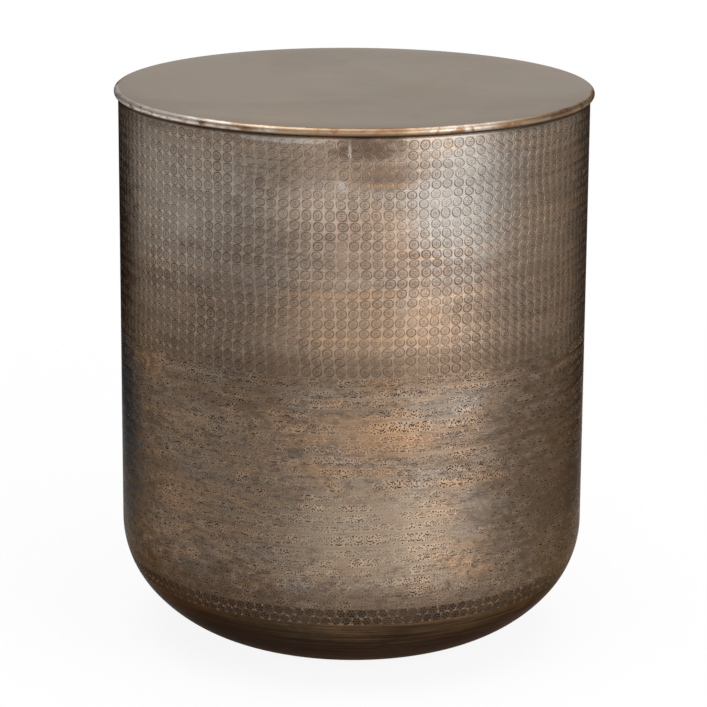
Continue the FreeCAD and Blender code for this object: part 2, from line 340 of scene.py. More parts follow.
borderLook = {
    "Metal": (0.125, 0.084, 0.054), "Copper": (0.165, 0.1, 0.054), "Grey": (0.13, 0.108, 0.084),
    "Dark": (0.07, 0.045, 0.029), "Low Tone And Shade": (0.075, 0.046, 0.028), "Stain": (0.055, 0.04, 0.031),
    "Stain Amount": 0.6, "Copper Amount": 0.6, "Grey Amount": 0.5, "Dark Amount": 0.6,
    "Streaks": 0.4, "Speckle": 0.5, "Line Contrast": 0.2,
    "Low Shade Top": 0.076, "Low Shade Bottom": 0.062, "Low Shade Amount": 0.6,
    # a strong painted glint beside the rosette dots, partly rubbed wear
    "Soot Amount": 1.0, "Rubbed And Glint": 2.2, "Coat Weight": 0.04,
}
baseLook = {
    "Metal": (0.1, 0.061, 0.035), "Copper": (0.15, 0.082, 0.04), "Grey": (0.1, 0.08, 0.06),
    "Dark": (0.038, 0.024, 0.015), "Low Tone And Shade": (0.02, 0.013, 0.009), "Stain": (0.05, 0.034, 0.023),
    "Stain Amount": 0.3, "Copper Amount": 0.6, "Grey Amount": 0.3, "Dark Amount": 0.8,
    "Streaks": 0.7, "Speckle": 0.2, "Line Contrast": 1.0,
    "Low Shade Top": 0.062, "Low Shade Bottom": 0.03, "Low Shade Amount": 0.75,
    "Soot Amount": 0.9, "Rubbed And Glint": 0.0, "Coat Weight": 0.03,
}


def buildPunchedMaterial(name, look, tones):
    # brushed round the drum, so the gloss spreads up and down
    material, tree, shader = newMaterial(name, {
        "Metallic": 1.0, "Specular Tint": (0.4, 0.36, 0.32), "Anisotropic": 0.55, "Anisotropic Rotation": 0.25,
        "Coat Weight": look["Coat Weight"], "Coat Roughness": 0.3})
    patina = placeGroup(tree, patinaGroup, look)
    mark, press = (addNode(tree, "ShaderNodeAttribute", attribute_name=label).outputs["Fac"]
                   for label in ("mark", "press"))
    color, press = paintTonesAndLight(tree, patina["Color"], press, tones)
    soot = placeGroup(tree, sootGroup, {
        **look, "Color": color, "Roughness": patina["Roughness"], "Mark": mark, "Press": press})
    shade(shader, soot["Color"], soot["Roughness"], patina["Height"], 0.25, 0.2 * mm)
    return material


# hand toning and painted light and shade: middle across and up, half width and half height in millimetres,
# strength, colour and, where the marks fade, how far
wallTones = {
    # litLeft: painted light, the upper left made lighter as if lit from that side
    "litLeft": (-148, 404, 92, 76, 0.75, (0.43, 0.363, 0.3)),
    "paleMiddle": (-38, 403, 44, 34, 0.6, (0.43, 0.34, 0.27)),
    # silverSheen: painted highlight, greyer metal with the marks faded under it
    "silverSheen": (90, 415, 56, 78, 0.75, (0.25, 0.236, 0.218), 0.5),
    "warmRight": (170, 385, 60, 95, 0.55, (0.255, 0.178, 0.121), 0.45),
    "dimLeft": (-92, 340, 44, 66, 0.38, (0.165, 0.12, 0.088)),
    "warmMiddle": (5, 312, 90, 38, 0.6, (0.335, 0.225, 0.145)),
    "roseField": (8, 376, 44, 36, 0.45, (0.37, 0.26, 0.19)),
    "wornTop": (-12, 440, 78, 30, 0.35, (0.25, 0.18, 0.13), 0.55),
    "heatStain": (13, 455, 36, 14, 0.8, (0.085, 0.052, 0.034), 0.75),
    "stainTail": (24, 431, 26, 14, 0.55, (0.12, 0.075, 0.048), 0.5),
    "copperStreak": (19, 424.5, 34, 2.0, 0.4, (0.33, 0.195, 0.105), 0.6),
    "midStreak": (-12, 337, 70, 2.0, 0.6, (0.38, 0.235, 0.135), 0.4),
    "lowStreak": (10, 301, 56, 2.2, 0.6, (0.38, 0.235, 0.135), 0.3),
    "darkHem": (20, 276, 230, 16, 0.6, (0.13, 0.087, 0.057), 0.2),
    # litShoulder: painted highlight where the rolled mouth catches the light
    "litShoulder": (-58, 459, 48, 2.4, 0.7, (0.5, 0.455, 0.41), 0.5),
    "brazeSpot": (-9, 424, 4, 6, 0.45, (0.48, 0.44, 0.41), 0.6),
    "brazeEdge": (-3, 452, 1.6, 9, 0.5, (0.42, 0.37, 0.32), 0.3),
    # darkEdge and dimEdge: painted shade and reflection, the drum's left and right edges darkened
    "darkEdge": (-206, 355, 34, 120, 0.85, (0.07, 0.04, 0.025), 0.4),
    "dimEdge": (206, 375, 44, 110, 0.35, (0.11, 0.08, 0.058)),
}
bowlTones = {
    "copperGlow": (20, 222, 52, 24, 0.6, (0.31, 0.185, 0.1)),
    # litFront: painted highlight, the bowl's front made paler
    "litFront": (14, 142, 96, 54, 0.65, (0.28, 0.217, 0.158)),
    "greyRub": (85, 245, 30, 18, 0.35, (0.2, 0.18, 0.157)),
    "brownLeft": (-95, 250, 75, 20, 0.5, (0.13, 0.082, 0.05)),
    # duskLeft, shadeRight, shadeLeft and cornerShade: painted shade, the bowl's sides and lower corner darkened
    "duskLeft": (-115, 160, 75, 110, 0.3, (0.11, 0.075, 0.05)),
    "shadeRight": (180, 160, 92, 150, 0.75, (0.1, 0.066, 0.043)),
    "darkHead": (10, 266, 230, 8, 0.45, (0.12, 0.078, 0.05)),
    "shadeLeft": (-182, 165, 40, 120, 0.5, (0.1, 0.066, 0.043)),
    "cornerShade": (-125, 74, 105, 42, 0.65, (0.07, 0.042, 0.026)),
    # coolEdge: painted reflection, a cool grey band down the bowl's left edge
    "coolEdge": (-206, 185, 36, 130, 0.85, (0.085, 0.098, 0.11), 0.3),
}
# painted shade on the border's lower left corner
borderTones = {"cornerShade": bowlTones["cornerShade"]}
# painted shade on the base's left side
baseTones = {"shadeLeft": (-110, 42, 105, 42, 0.55, (0.028, 0.017, 0.01))}
rimTones = {
    # litLeft and litRight: painted highlights on the bead
    "litLeft": (-210, 467, 150, 12, 0.9, (0.92, 0.82, 0.74)),
    "brownMiddle": (8, 467, 62, 12, 0.8, (0.24, 0.15, 0.085)),
    "litRight": (88, 467, 34, 12, 0.7, (0.5, 0.45, 0.395)),
    "brownRight": (150, 467, 40, 12, 0.45, (0.24, 0.155, 0.09)),
}


def paintTonesAndLight(tree, color, press, tones):
    # patches of toning and of painted light and shade on the front; one centred beyond the drum's side reaches
    # round to its edge
    coords = objectCoords(tree)
    depth = axesOf(coords)["Y"]
    front, side = ramp(depth, -0.02, -0.09), ramp(depth, 0.02, -0.02)
    ragged = times(minus(grain(stretched(coords, (1, 1, 2.2)), 70.0, 5.0, 0.6), 0.5), 1.9)
    for across, up, wide, tall, strength, tint, *markFade in tones.values():
        away = lengthOf(stretched(coords, (1 / wide / mm, 0, 1 / tall / mm), (-across / wide, 0, -up / tall)))
        facing = side if abs(across * mm) > drumForm["radius"] else front
        spot = times(ramp(plus(away, ragged), 1.15, 0.3), facing)
        color = mixColor(times(spot, strength), color, tint)
        if markFade:
            press = times(press, calc("MULTIPLY_ADD", spot, -markFade[0], 1.0))
    return color, press


lidLook = {
    "Metal": (0.32, 0.262, 0.205), "Copper": (0.33, 0.252, 0.182), "Grey": (0.31, 0.272, 0.228),
    "Dark": (0.25, 0.198, 0.15), "Copper Amount": 0.5, "Grey Amount": 0.6, "Dark Amount": 0.3,
    "Streaks": 0.0, "Speckle": 0.12, "Pull": 1.0, "Sheen Roughness": 0.4,
    "gold": (0.37, 0.262, 0.167),
    "brown": (0.2, 0.1, 0.045),
    "wornEdge": 1.4,  # how much brighter the bead's top is in rubbed patches, partly wear and partly a painted highlight
    # painted shade on the bead's underside, above the parting line
    "underside": (0.07, 0.042, 0.027),
    "rimStarts": 195.5 * mm,
    "rimFull": 198.0 * mm,
}


def buildLidMaterial():
    look = lidLook
    material, tree, shader = newMaterial("satinLidBronze", {"Metallic": 1.0, "Specular Tint": (0.8, 0.77, 0.74)})
    patina = placeGroup(tree, patinaGroup, look)
    coords = objectCoords(tree)
    up = minus(axesOf(coords)["Z"], lidHigh.z)
    rim = ramp(lengthOf(stretched(coords, (1, 1, 0))), look["rimStarts"], look["rimFull"])
    patches = grain(stretched(coords, (1, 1, 1.6)), 46.0, 6.0, 0.66, 1.0)
    # the bead's gold with its tones and painted highlights
    gold = paintTonesAndLight(tree, look["gold"], None, rimTones)[0]
    rimColor = mixColor(ramp(patches, 0.45, 0.62), gold, look["brown"])
    # bright patches along the bead's top: partly rubbed wear, partly a painted highlight
    rubbedAndLit = ramp(grain(stretched(coords, (1, 1, 1), (2.9, 0.4, 0.0)), 15.0, 5.0, 0.6), 0.45, 0.58, 0.0, 0.8)
    rubbedAndLit = times(rubbedAndLit, ramp(up, -2.6 * mm, -1.2 * mm))
    rimColor = mixColor(rubbedAndLit, rimColor, scaleColor(gold, look["wornEdge"]))
    # the bead darkened underneath: painted shade over the parting line
    lower = plus(up, times(minus(patches, 0.5), 3.0 * mm))
    rimColor = mixColor(ramp(lower, -4.4 * mm, -6.4 * mm), rimColor, look["underside"])
    color = mixColor(times(rim, 0.9), patina["Color"], rimColor)
    rough = plus(patina["Roughness"], times(rim, 0.05))
    shade(shader, color, rough, grain(coords, 260.0, 4.0, 0.6), 0.12, 0.4 * mm)
    return material


steelLook = {
    "sockets": {"Metallic": 1.0},
    "mottle": (55.0, 5.0, 0.6, 0.3),
    "fade": (0.4, 0.7),
    "colors": ((0.33, 0.32, 0.31), (0.16, 0.14, 0.125)),
    "roughness": (0.42, 0.6),
    "bumps": 400.0,
    "bumpStretch": (1, 1, 6),
    "bumpStrength": 0.2,
}
rubberLook = {
    "sockets": {"Specular IOR Level": 0.35},
    "mottle": (120.0, 4.0),
    "fade": (0.45, 0.75),
    "colors": ((0.018, 0.018, 0.018), (0.06, 0.057, 0.053)),
    "roughness": (0.65, 0.8),
    "bumps": 900.0,
    "bumpStretch": (1, 1, 1),
    "bumpStrength": 0.3,
}


def buildPlainMaterial(name, look):
    material, tree, shader = newMaterial(name, look["sockets"])
    coords = objectCoords(tree)
    mottle = grain(coords, *look["mottle"])
    color = mixColor(ramp(mottle, *look["fade"]), *look["colors"])
    bumps = grain(stretched(coords, look["bumpStretch"]), look["bumps"])
    shade(shader, color, ramp(mottle, 0.3, 0.7, *look["roughness"]), bumps, look["bumpStrength"], 0.2 * mm)
    return material


circleBronze = buildPunchedMaterial("circlePunchedBronze", circleLook, wallTones)
sprigBronze = buildPunchedMaterial("sprigPunchedBronze", sprigLook, bowlTones)
borderBronze = buildPunchedMaterial("rosetteBorderBronze", borderLook, borderTones)
baseBronze = buildPunchedMaterial("turnedBaseBronze", baseLook, baseTones)
lidBronze = buildLidMaterial()
millSteel = buildPlainMaterial("millSteel", steelLook)
footRubber = buildPlainMaterial("footRubber", rubberLook)
print("finishes made")

# turned forms


def atBearing(radius, bearing, height):
    # bearing runs from the front to the right
    return Vector((radius * sin(bearing), -radius * cos(bearing), height))


def bearingOf(point):
    return atan2(point.x, -point.y)


def joinRings(shape, first, second):
    faces = []
    count = max(len(first), len(second)) if len(first) + len(second) > 2 else 0
    for step in range(count):
        after = (step + 1) % count
        corners = [first[step % len(first)], first[after % len(first)],
                   second[after % len(second)], second[step % len(second)]]
        faces.append(shape.faces.new(list(dict.fromkeys(corners))))
    return faces


def turnedMesh(name, profile, segments):
    # closed outline of (radius, height) points, turned about Z; points on the axis become poles
    mesh = bpy.data.meshes.new(name)
    shape = bmesh.new()
    rings = []
    for radius, height in profile:
        count = segments if radius > 1e-7 else 1
        turns = [fullTurn * step / segments for step in range(count)]
        rings.append([shape.verts.new(atBearing(radius, turn, height)) for turn in turns])
    for first, second in zip(rings, rings[1:] + rings[:1]):
        joinRings(shape, first, second)
    bmesh.ops.recalc_face_normals(shape, faces=shape.faces)
    shape.to_mesh(mesh)
    shape.free()
    return mesh


def arcPoints(centre, radius, start, end, steps):
    return [(centre[0] + radius * cos(start + (end - start) * step / steps),
             centre[1] + radius * sin(start + (end - start) * step / steps)) for step in range(steps + 1)]


lidForm = {
    "segments": 288,
    "beadRadius": 3.5 * mm,
    "beadSteps": 20,
    "topRings": 10,
    "dressing": 0.16 * mm,  # how far hammer dressing moves the bead
    "sag": 0.8,  # share of the dressing that lifts the bead's underside
    "sharpAngle": 40,
}


def makeLid():
    form = lidForm
    radius, rings = form["beadRadius"], form["topRings"]
    bead = (lidHigh.x - radius, lidHigh.z - radius)
    quarter, back = radians(90), radians(-180)
    profile = [(bead[0] * step / rings, lidHigh.z) for step in range(rings)]
    profile += arcPoints(bead, radius, quarter, back, form["beadSteps"])
    profile += arcPoints(bead, radius - drumForm["sheet"], back, quarter, form["beadSteps"])
    profile += [(bead[0] * step / rings, lidHigh.z - drumForm["sheet"]) for step in range(rings - 1, -1, -1)]
    mesh = turnedMesh("lid_top", profile, form["segments"])
    for vert in mesh.vertices:
        x, y, z = vert.co
        out = hypot(x, y)
        if out > bead[0] - radius * 1.01:
            push = noise.noise(Vector((x * 70, y * 70, z * 60)))
            drop = noise.noise(Vector((x * 45 + 9, y * 45, 3.0)))
            scale = 1 - form["dressing"] * max(push, 0) / out
            vert.co.x *= scale
            vert.co.y *= scale
            if z < lidHigh.z - 0.3 * mm:
                vert.co.z += form["dressing"] * form["sag"] * max(drop, 0)
    addPiece("lid_top", mesh, lidBronze, form["sharpAngle"], "lid", "lid_sheet")


makeLid()
print("lid made")

# punch marks: each tile is a small flat mesh with the mark sunk into it;
# a mark is a list of lines, each with its points, whether it is closed, its depth and its tone


def loopPoints(centre, reach, sides, turn=0.0, oval=1.0):
    return [(centre[0] + reach * oval * cos(turn + fullTurn * step / sides),
             centre[1] + reach * sin(turn + fullTurn * step / sides)) for step in range(sides)]


def ringMark(centre, radius, width, segments, floorTone, oval):
    # a punched ring, steepest on its outer side; its inside keeps a little of the toning
    lines = ((radius, 0.0, 0.05), (radius - width * 0.42, 1.0, 1.0), (radius - width, 0.15, floorTone))
    return [(loopPoints(centre, reach, segments, 0.0, oval), True, depth, tone) for reach, depth, tone in lines]


def dotMark(centre, radius, sides, turn, flat, edgeTone):
    # a round punch, pointed or with a flat floor
    floor = loopPoints(centre, radius * flat, sides, turn) if flat else [centre]
    return [(loopPoints(centre, radius, sides, turn), True, 0.0, edgeTone), (floor, bool(flat), 1.0, 1.0)]


def strokeMark(points, width, depth, tone, edgeTone):
    # pointed chisel stroke, straight between two points or an arc through three
    first, last = Vector(points[0]), Vector(points[-1])
    along = (last - first).normalized()
    aside = Vector((-along.y, along.x)) * width / 2
    middle = (first + last) / 2
    body, spine = [middle], [first.lerp(last, 0.12), first.lerp(last, 0.88)]
    if len(points) == 3:
        lift = (Vector(points[1]) - middle) * 0.84
        body = [first.lerp(last, 0.3) + lift, first.lerp(last, 0.7) + lift]
        spine = [first.lerp(body[0], 0.35)] + body + [last.lerp(body[-1], 0.35)]
    outline = [first] + [point - aside for point in body] + [last] + [point + aside for point in reversed(body)]
    return [([tuple(p) for p in outline], True, 0.0, edgeTone), ([tuple(p) for p in spine], False, depth, tone)]


def turnedPoints(points, turn, centre):
    return [(centre[0] + x * cos(turn) - y * sin(turn), centre[1] + x * sin(turn) + y * cos(turn))
            for x, y in points]


def makeTile(name, collection, width, height, marks, form):
    # sizes are in millimetres; long edges carry a middle point, so that shifted rows share their corners
    w, h, border = width / 2, height / 2, 0.08
    field, edge = form.get("fieldTone", 0.0), form.get("edgeTone", 0.0)
    coords = [(-w, -h), (0, -h), (w, -h), (w, h), (0, h), (-w, h)]
    sunk, tones = [0.0] * 6, [field, edge, field] * 2
    edges = [(i, (i + 1) % 6) for i in range(6)]
    for points, closed, deep, tone in marks:
        first, count = len(coords), len(points)
        coords += [(max(border - w, min(w - border, x)), max(border - h, min(h - border, y))) for x, y in points]
        sunk += [deep] * count
        tones += [tone] * count
        edges += [(first + i, first + i + 1) for i in range(count - 1)]
        if closed:
            edges.append((first + count - 1, first))
    verts, _, faces, origin, _, _ = delaunay_2d_cdt([Vector(c) for c in coords], edges, [], 0, 1e-6)
    deepest = [max((sunk[i] for i in found), default=0.0) for found in origin]
    shades = [max((tones[i] for i in found), default=0.0) for found in origin]
    mesh = bpy.data.meshes.new(name)
    places = [(v.x * mm, v.y * mm, -deep * form["depth"] * mm) for v, deep in zip(verts, deepest)]
    mesh.from_pydata(places, [], faces)
    shape = bmesh.new()
    shape.from_mesh(mesh)
    bmesh.ops.recalc_face_normals(shape, faces=shape.faces)
    if sum(face.normal.z for face in shape.faces) < 0:
        bmesh.ops.reverse_faces(shape, faces=shape.faces)
    bmesh.ops.join_triangles(shape, faces=shape.faces, angle_face_threshold=0.05, angle_shape_threshold=2.6)
    shape.to_mesh(mesh)
    shape.free()
    mesh.attributes.new("mark", "FLOAT", "POINT").data.foreach_set("value", shades)
    newObject(name, mesh, collection)


# forms of the punched walls; sizes of marks are in millimetres, the keys in punching are inputs of the punch tree
circleForm = {
    "columns": 131,
    "rows": 24,
    "radius": 3.98,  # outside of the punched ring
    "oval": 1.1,  # a touch wider than tall
    "slip": 0.24,  # how far a punch sits off its place
    "shrink": 0.07,  # step in size between the punches
    "line": 0.95,
    "segments": 14,
    "depth": 0.22,
    "floorTone": 0.1,
    "fieldTone": -0.3,  # bright metal between the circles, partly a painted glint
    "edgeTone": 0.05,
    "stroke": 0.9,  # width of a stroke inside the circle
    "strokeDepth": 0.5,
    "strokeTone": 0.95,
    "seed": 7,
    "mapRows": 4,
    "punching": {"Wander": 1.2 * mm, "Faintest": 0.6, "Unevenness": 0.16, "Row Shift": 0.0},
}


def circleMarks():
    form, tiles = circleForm, []
    bars = [[(-1.7, 1.35), (1.7, 1.35)], [(-2.3, 0.0), (2.3, 0.0)], [(-1.7, -1.35), (1.7, -1.35)]]
    pair = [[(-2.0, 0.8), (2.0, 0.8)], [(-2.0, -0.8), (2.0, -0.8)]]
    arcs = [[(-1.9, 0.2), (0.0, 1.6), (1.9, 0.2)], [(-1.6, -1.2), (0.0, -0.2), (1.6, -1.2)]]
    for number, (strokes, degrees) in enumerate((
        (bars, 0), (bars, 90), (bars, 42), (bars, -38), (pair, 4), (pair, 84), (arcs, 0), (arcs, 175), (bars, 8),
        (pair, -50),
    )):
        shift = (form["slip"] * sin(2.1 * number), 0.0)
        radius = form["radius"] - form["shrink"] * (number % 3)
        marks = ringMark(shift, radius, form["line"], form["segments"], form["floorTone"], form["oval"])
        for points in strokes:
            marks += strokeMark(
                turnedPoints(points, radians(degrees), shift),
                form["stroke"], form["strokeDepth"], form["strokeTone"], form["floorTone"])
        tiles.append(marks)
    return tiles


sprigForm = {
    "columns": 96,
    "rows": 21,
    "depth": 0.36,
    "tick": 1.3,  # width of a chisel tick
    "stem": 1.1,
    "petal": 1.1,
    "petalStart": 1.05,
    "petalEnd": 2.3,
    "dot": 0.8,
    "slip": 0.35,  # how far a mark may land off its place
    "lean": radians(18),  # how far a tick may be turned
    "squash": 0.84,  # keeps a clear gap between the rows
    "rubAndGlint": -0.22,  # tone of the bright edge round a mark: partly rubbed metal, partly a painted glint
    "endTurn": radians(15.8),  # turn of the soft corner where the sprigs stop
    "seed": 21,
    "mapRows": 4,
    "punching": {"Wander": 2.6 * mm, "Faintest": 0.4, "Unevenness": 0.32},
}
sprigMotifs = [
    # stems as arcs through three points, ticks as (middle x, y, length, degrees), flower heads and single dots
    {
        "stems": [[(-5.6, 0.8), (-2.6, -1.9), (0.6, -0.2)]],
        "ticks": [(-4.3, 2.2, 2.2, 58), (-2.3, 1.4, 2.2, 70), (-0.4, 2.4, 2.4, 40), (-4.8, -2.6, 2.4, -48),
                  (-2.0, -3.5, 2.6, -12), (0.7, -2.6, 2.2, 34), (2.2, 3.5, 2.2, -20), (3.4, -3.3, 2.4, 14)],
        "heads": [(3.3, 0.4)],
        "dots": [(5.3, 3.2), (5.4, -2.9)],
    },
    {
        "stems": [[(-5.7, 2.8), (-3.1, 0.9), (-0.5, 2.9)], [(0.7, -0.9), (3.2, -3.0), (5.7, -1.1)]],
        "ticks": [(1.4, 2.6, 2.4, 64), (3.4, 1.6, 2.2, 100), (5.2, 2.7, 2.2, 38), (0.0, -3.2, 2.2, 48),
                  (-0.4, 0.2, 2.0, 118), (-3.1, 3.5, 1.8, 8)],
        "heads": [(-3.4, -1.9)],
        "dots": [(3.2, -0.8), (-5.7, 0.4)],
    },
    {
        "stems": [[(-3.0, -1.9), (0.2, -3.6), (3.4, -2.0)]],
        "ticks": [(-2.7, 0.1, 2.6, 155), (-1.4, 2.0, 2.6, 118), (0.5, 2.7, 2.6, 88), (2.4, 2.0, 2.6, 58),
                  (3.6, 0.0, 2.6, 22), (-5.1, 2.3, 2.4, 60), (-5.0, -2.9, 2.4, -30), (5.4, -2.8, 2.2, 65)],
        "heads": [(0.4, -0.4)],
        "dots": [(-5.4, -0.5), (5.5, 2.6), (-3.2, 3.6)],
    },
]


def sprigMarks():
    # curved stems with leaf ticks and flower heads, punched by eye, each motif also turned over
    form, tiles = sprigForm, []
    chance = random.Random(11)
    for motif in sprigMotifs:
        for flipX, flipY in ((1, 1), (-1, 1), (1, -1), (-1, -1)):
            marks = []

            def near(x, y):
                return Vector((x * flipX + chance.uniform(-1, 1) * form["slip"],
                               y * flipY * form["squash"] + chance.uniform(-1, 1) * form["slip"]))

            def stroke(points, width):
                marks.extend(strokeMark(points, width, 1.0, 1.0, form["rubAndGlint"]))

            def dot(middle, turn):
                marks.extend(dotMark(tuple(middle), form["dot"], 4, turn, 0.0, form["rubAndGlint"]))

            for stem in motif["stems"]:
                stroke([near(x, y) for x, y in stem], form["stem"])
            for x, y, length, degrees in motif["ticks"]:
                middle = near(x, y)
                turn = radians(degrees) * flipX * flipY + chance.uniform(-1, 1) * form["lean"]
                half = Vector((cos(turn), sin(turn))) * length / 2 * chance.uniform(0.8, 1.1)
                stroke([middle - half, middle + half], form["tick"])
            for x, y in motif["heads"]:
                middle, turned = near(x, y), chance.uniform(0.0, 1.2)
                dot(middle, turned)
                for petal in range(5):
                    turn = turned + fullTurn * petal / 5
                    spoke = Vector((cos(turn), sin(turn)))
                    stroke([middle + spoke * form["petalStart"], middle + spoke * form["petalEnd"]], form["petal"])
            for x, y in motif["dots"]:
                dot(near(x, y), chance.uniform(0.0, 1.5))
            tiles.append(marks)
    return tiles


borderForm = {
    "columns": 142,
    "rows": 2,
    "depth": 0.5,
    "dotSides": 5,
    "dotFloor": 0.65,  # share of a dot that is flat
    "dotEdge": 0.06,
    "middleDot": 1.15,
    # painted glints on the metal between the rosettes
    "glintTone": -0.4,
    "fieldTone": -0.03,
    "endTurn": radians(26.6),
    "seed": 5,
    "mapRows": 6,
    "punching": {"Wander": 1.0 * mm, "Faintest": 0.6, "Unevenness": 0.12},
}


def rosetteMarks():
    # six dots about a middle one, uneven, with bright spots between the rosettes: painted glints
    form, tiles = borderForm, []
    chance = random.Random(3)

    def dot(place, radius, turn):
        return dotMark(place, radius, form["dotSides"], turn, form["dotFloor"], form["dotEdge"])

    for number in range(8):
        marks = dot((0.0, 0.0), form["middleDot"], number)
        for petal in range(6):
            turn = pi * petal / 3 + 0.4 * number + chance.uniform(-0.1, 0.1)
            away = chance.uniform(2.5, 2.8)
            marks += dot((away * cos(turn), away * sin(turn)), chance.uniform(1.05, 1.2), turn)
        for _ in range(number % 4):
            x = chance.choice((-1, 1)) * chance.uniform(3.5, 4.0)
            y = chance.choice((-1, 1)) * chance.uniform(3.2, 3.7)
            marks.append(([(x, y)], False, 0.0, form["glintTone"]))
        tiles.append(marks)
    return tiles


driftGrains = [
    # how the rows wander round, wave up and down, and run uneven: stretch, offset, scale, detail, times the wander
    ((1, 1, 2.2), (0, 0, 0), 12.0, 2.0, 8.0),
    ((1, 1, 1.3), (4, 7, 2), 11.0, 2.0, 4.0),
    ((0.4, 0.4, 5), (1, 3, 5), 12.0, 1.0, 4.2),
]


def buildPunchTree():
    # rows of punch marks laid flat, then rolled onto the drum's wall and soft corner
    tree, given, end = newGroup("punchedBand", "GeometryNodeTree", {
        "Geometry": "Geometry", "Punches": "Collection", "Finish": "Material",
        "Columns": 100, "Rows": 10, "Row Height": 0.008, "Row Shift": 0.5,
        "Low Edge": 0.27, "Zone Low": 0.27, "Zone High": 0.46,
        "Drum Radius": 0.2, "Corner Height": 0.1, "Knuckle Radius": 0.08,
        "Wander": 0.0012, "Faintest": 0.4, "Unevenness": 0.12, "Seed": 4,
    }, {"Geometry": "Geometry"})
    columns, rows, rowHeight, radius = (given[key] for key in ("Columns", "Rows", "Row Height", "Drum Radius"))

    def geo(kind, values=None, **settings):
        return addNode(tree, "GeometryNode" + kind, values, **settings).outputs[0]

    def chance(kind, low, high, places, output):
        values = {places[0]: low, places[1]: high, "Seed": given["Seed"]}
        return addNode(tree, "FunctionNodeRandomValue", values, data_type=kind).outputs[output]

    # a flat grid with a mark stamped on each point
    position = geo("InputPosition")
    place = axesOf(position)
    pitch = over(times(radius, fullTurn), columns)
    grid = geo("MeshGrid", {
        "Size X": times(pitch, minus(columns, 1)), "Size Y": times(rowHeight, minus(rows, 1)),
        "Vertices X": columns, "Vertices Y": rows})
    rowUp = plus(place["Y"], plus(given["Low Edge"], times(times(rows, 0.5), rowHeight)))
    row = calc("FLOOR", over(minus(rowUp, given["Zone Low"]), rowHeight))
    shift = times(calc("MODULO", row, 2.0), times(pitch, given["Row Shift"]))
    laid = geo("SetPosition", {"Geometry": grid, "Position": joinAxes(plus(place["X"], shift), rowUp)})
    punches = geo("CollectionInfo", {
        "Collection": given["Punches"], "Separate Children": True, "Reset Children": True})
    choice = chance("INT", 0, 23, (4, 5), 2)
    stamped = geo("InstanceOnPoints", {
        "Points": laid, "Instance": punches, "Pick Instance": True, "Instance Index": choice})

    # how hard each mark was struck
    jitter = chance("FLOAT", times(given["Unevenness"], -1.0), given["Unevenness"], (2, 3), 1)
    blow = plus(ramp(grain(position, 24.0, 2.0), 0.34, 0.6, given["Faintest"], 0.95), jitter)
    pressed = geo("StoreNamedAttribute", {"Geometry": stamped, "Name": "press", "Value": blow},
                  data_type="FLOAT", domain="INSTANCE")
    real = geo("RealizeInstances", {"Geometry": pressed})

    # hand-laid rows wander, except at the edges of the punched zone
    angle = over(place["X"], radius)
    around = joinAxes(times(calc("SINE", angle), radius), times(calc("COSINE", angle), radius), place["Y"])
    inside = calc("MINIMUM", minus(place["Y"], given["Zone Low"]), minus(given["Zone High"], place["Y"]))
    wander = times(given["Wander"], calc("DIVIDE", inside, 12 * mm, clamp=True))
    drift, wave, uneven = (
        times(minus(grain(stretched(around, stretch, offset), scale, detail), 0.5), times(wander, reach))
        for stretch, offset, scale, detail, reach in driftGrains)
    turned = plus(angle, over(drift, radius))
    up = plus(plus(place["Y"], wave), uneven)

    # rolled up, and bent in below the corner's height
    sunk = times(place["Z"], geo("InputNamedAttribute", {"Name": "press"}, data_type="FLOAT"))
    cornerUp, knuckle = given["Corner Height"], given["Knuckle Radius"]
    bend = over(calc("MAXIMUM", minus(cornerUp, up), 0.0), knuckle)
    level = calc("COSINE", bend)
    out = plus(minus(radius, times(knuckle, minus(1.0, level))), times(sunk, level))
    height = minus(calc("MAXIMUM", up, cornerUp), times(plus(knuckle, sunk), calc("SINE", bend)))
    right, front = times(out, calc("SINE", turned)), times(out, calc("COSINE", turned))
    rolled = geo("SetPosition", {"Geometry": real, "Position": joinAxes(right, times(front, -1.0), height)})
    welded = geo("MergeByDistance", {"Geometry": rolled, "Distance": 0.04 * mm})
    feed(geo("SetMaterial", {"Geometry": welded, "Material": given["Finish"]}), end[0])
    return tree


punchTree = buildPunchTree()


def punchBand(name, inputs):
    carrier = newObject(name + "_carrier", bpy.data.meshes.new(name + "_carrier"))
    modifier = carrier.modifiers.new("punches", "NODES")
    modifier.node_group = punchTree
    for item in punchTree.interface.items_tree:
        if item.in_out == "INPUT" and item.name in inputs:
            modifier[item.identifier] = inputs[item.name]
    mesh = bpy.data.meshes.new_from_object(carrier.evaluated_get(bpy.context.evaluated_depsgraph_get()))
    bpy.data.objects.remove(carrier)
    mesh.name = name
    return mesh


mapForm = {
    "columns": 2,
    "margin": 4.0 * mm,  # kept free round each part of the map
    "edges": 0.08,  # share of the map for a band's edges and inside
}


def skinDrop(up):
    # distance down the outside of the drum from its mouth
    below = drumForm["cornerUp"] - up
    if below <= 0:
        return wallHigh.z - up
    return wallHigh.z - drumForm["cornerUp"] + drumForm["knuckle"] * asin(below / drumForm["knuckle"])


def bearingNear(point, middle):
    # the point's bearing, within half a turn of the middle
    return (bearingOf(point) - middle + pi) % fullTurn + middle


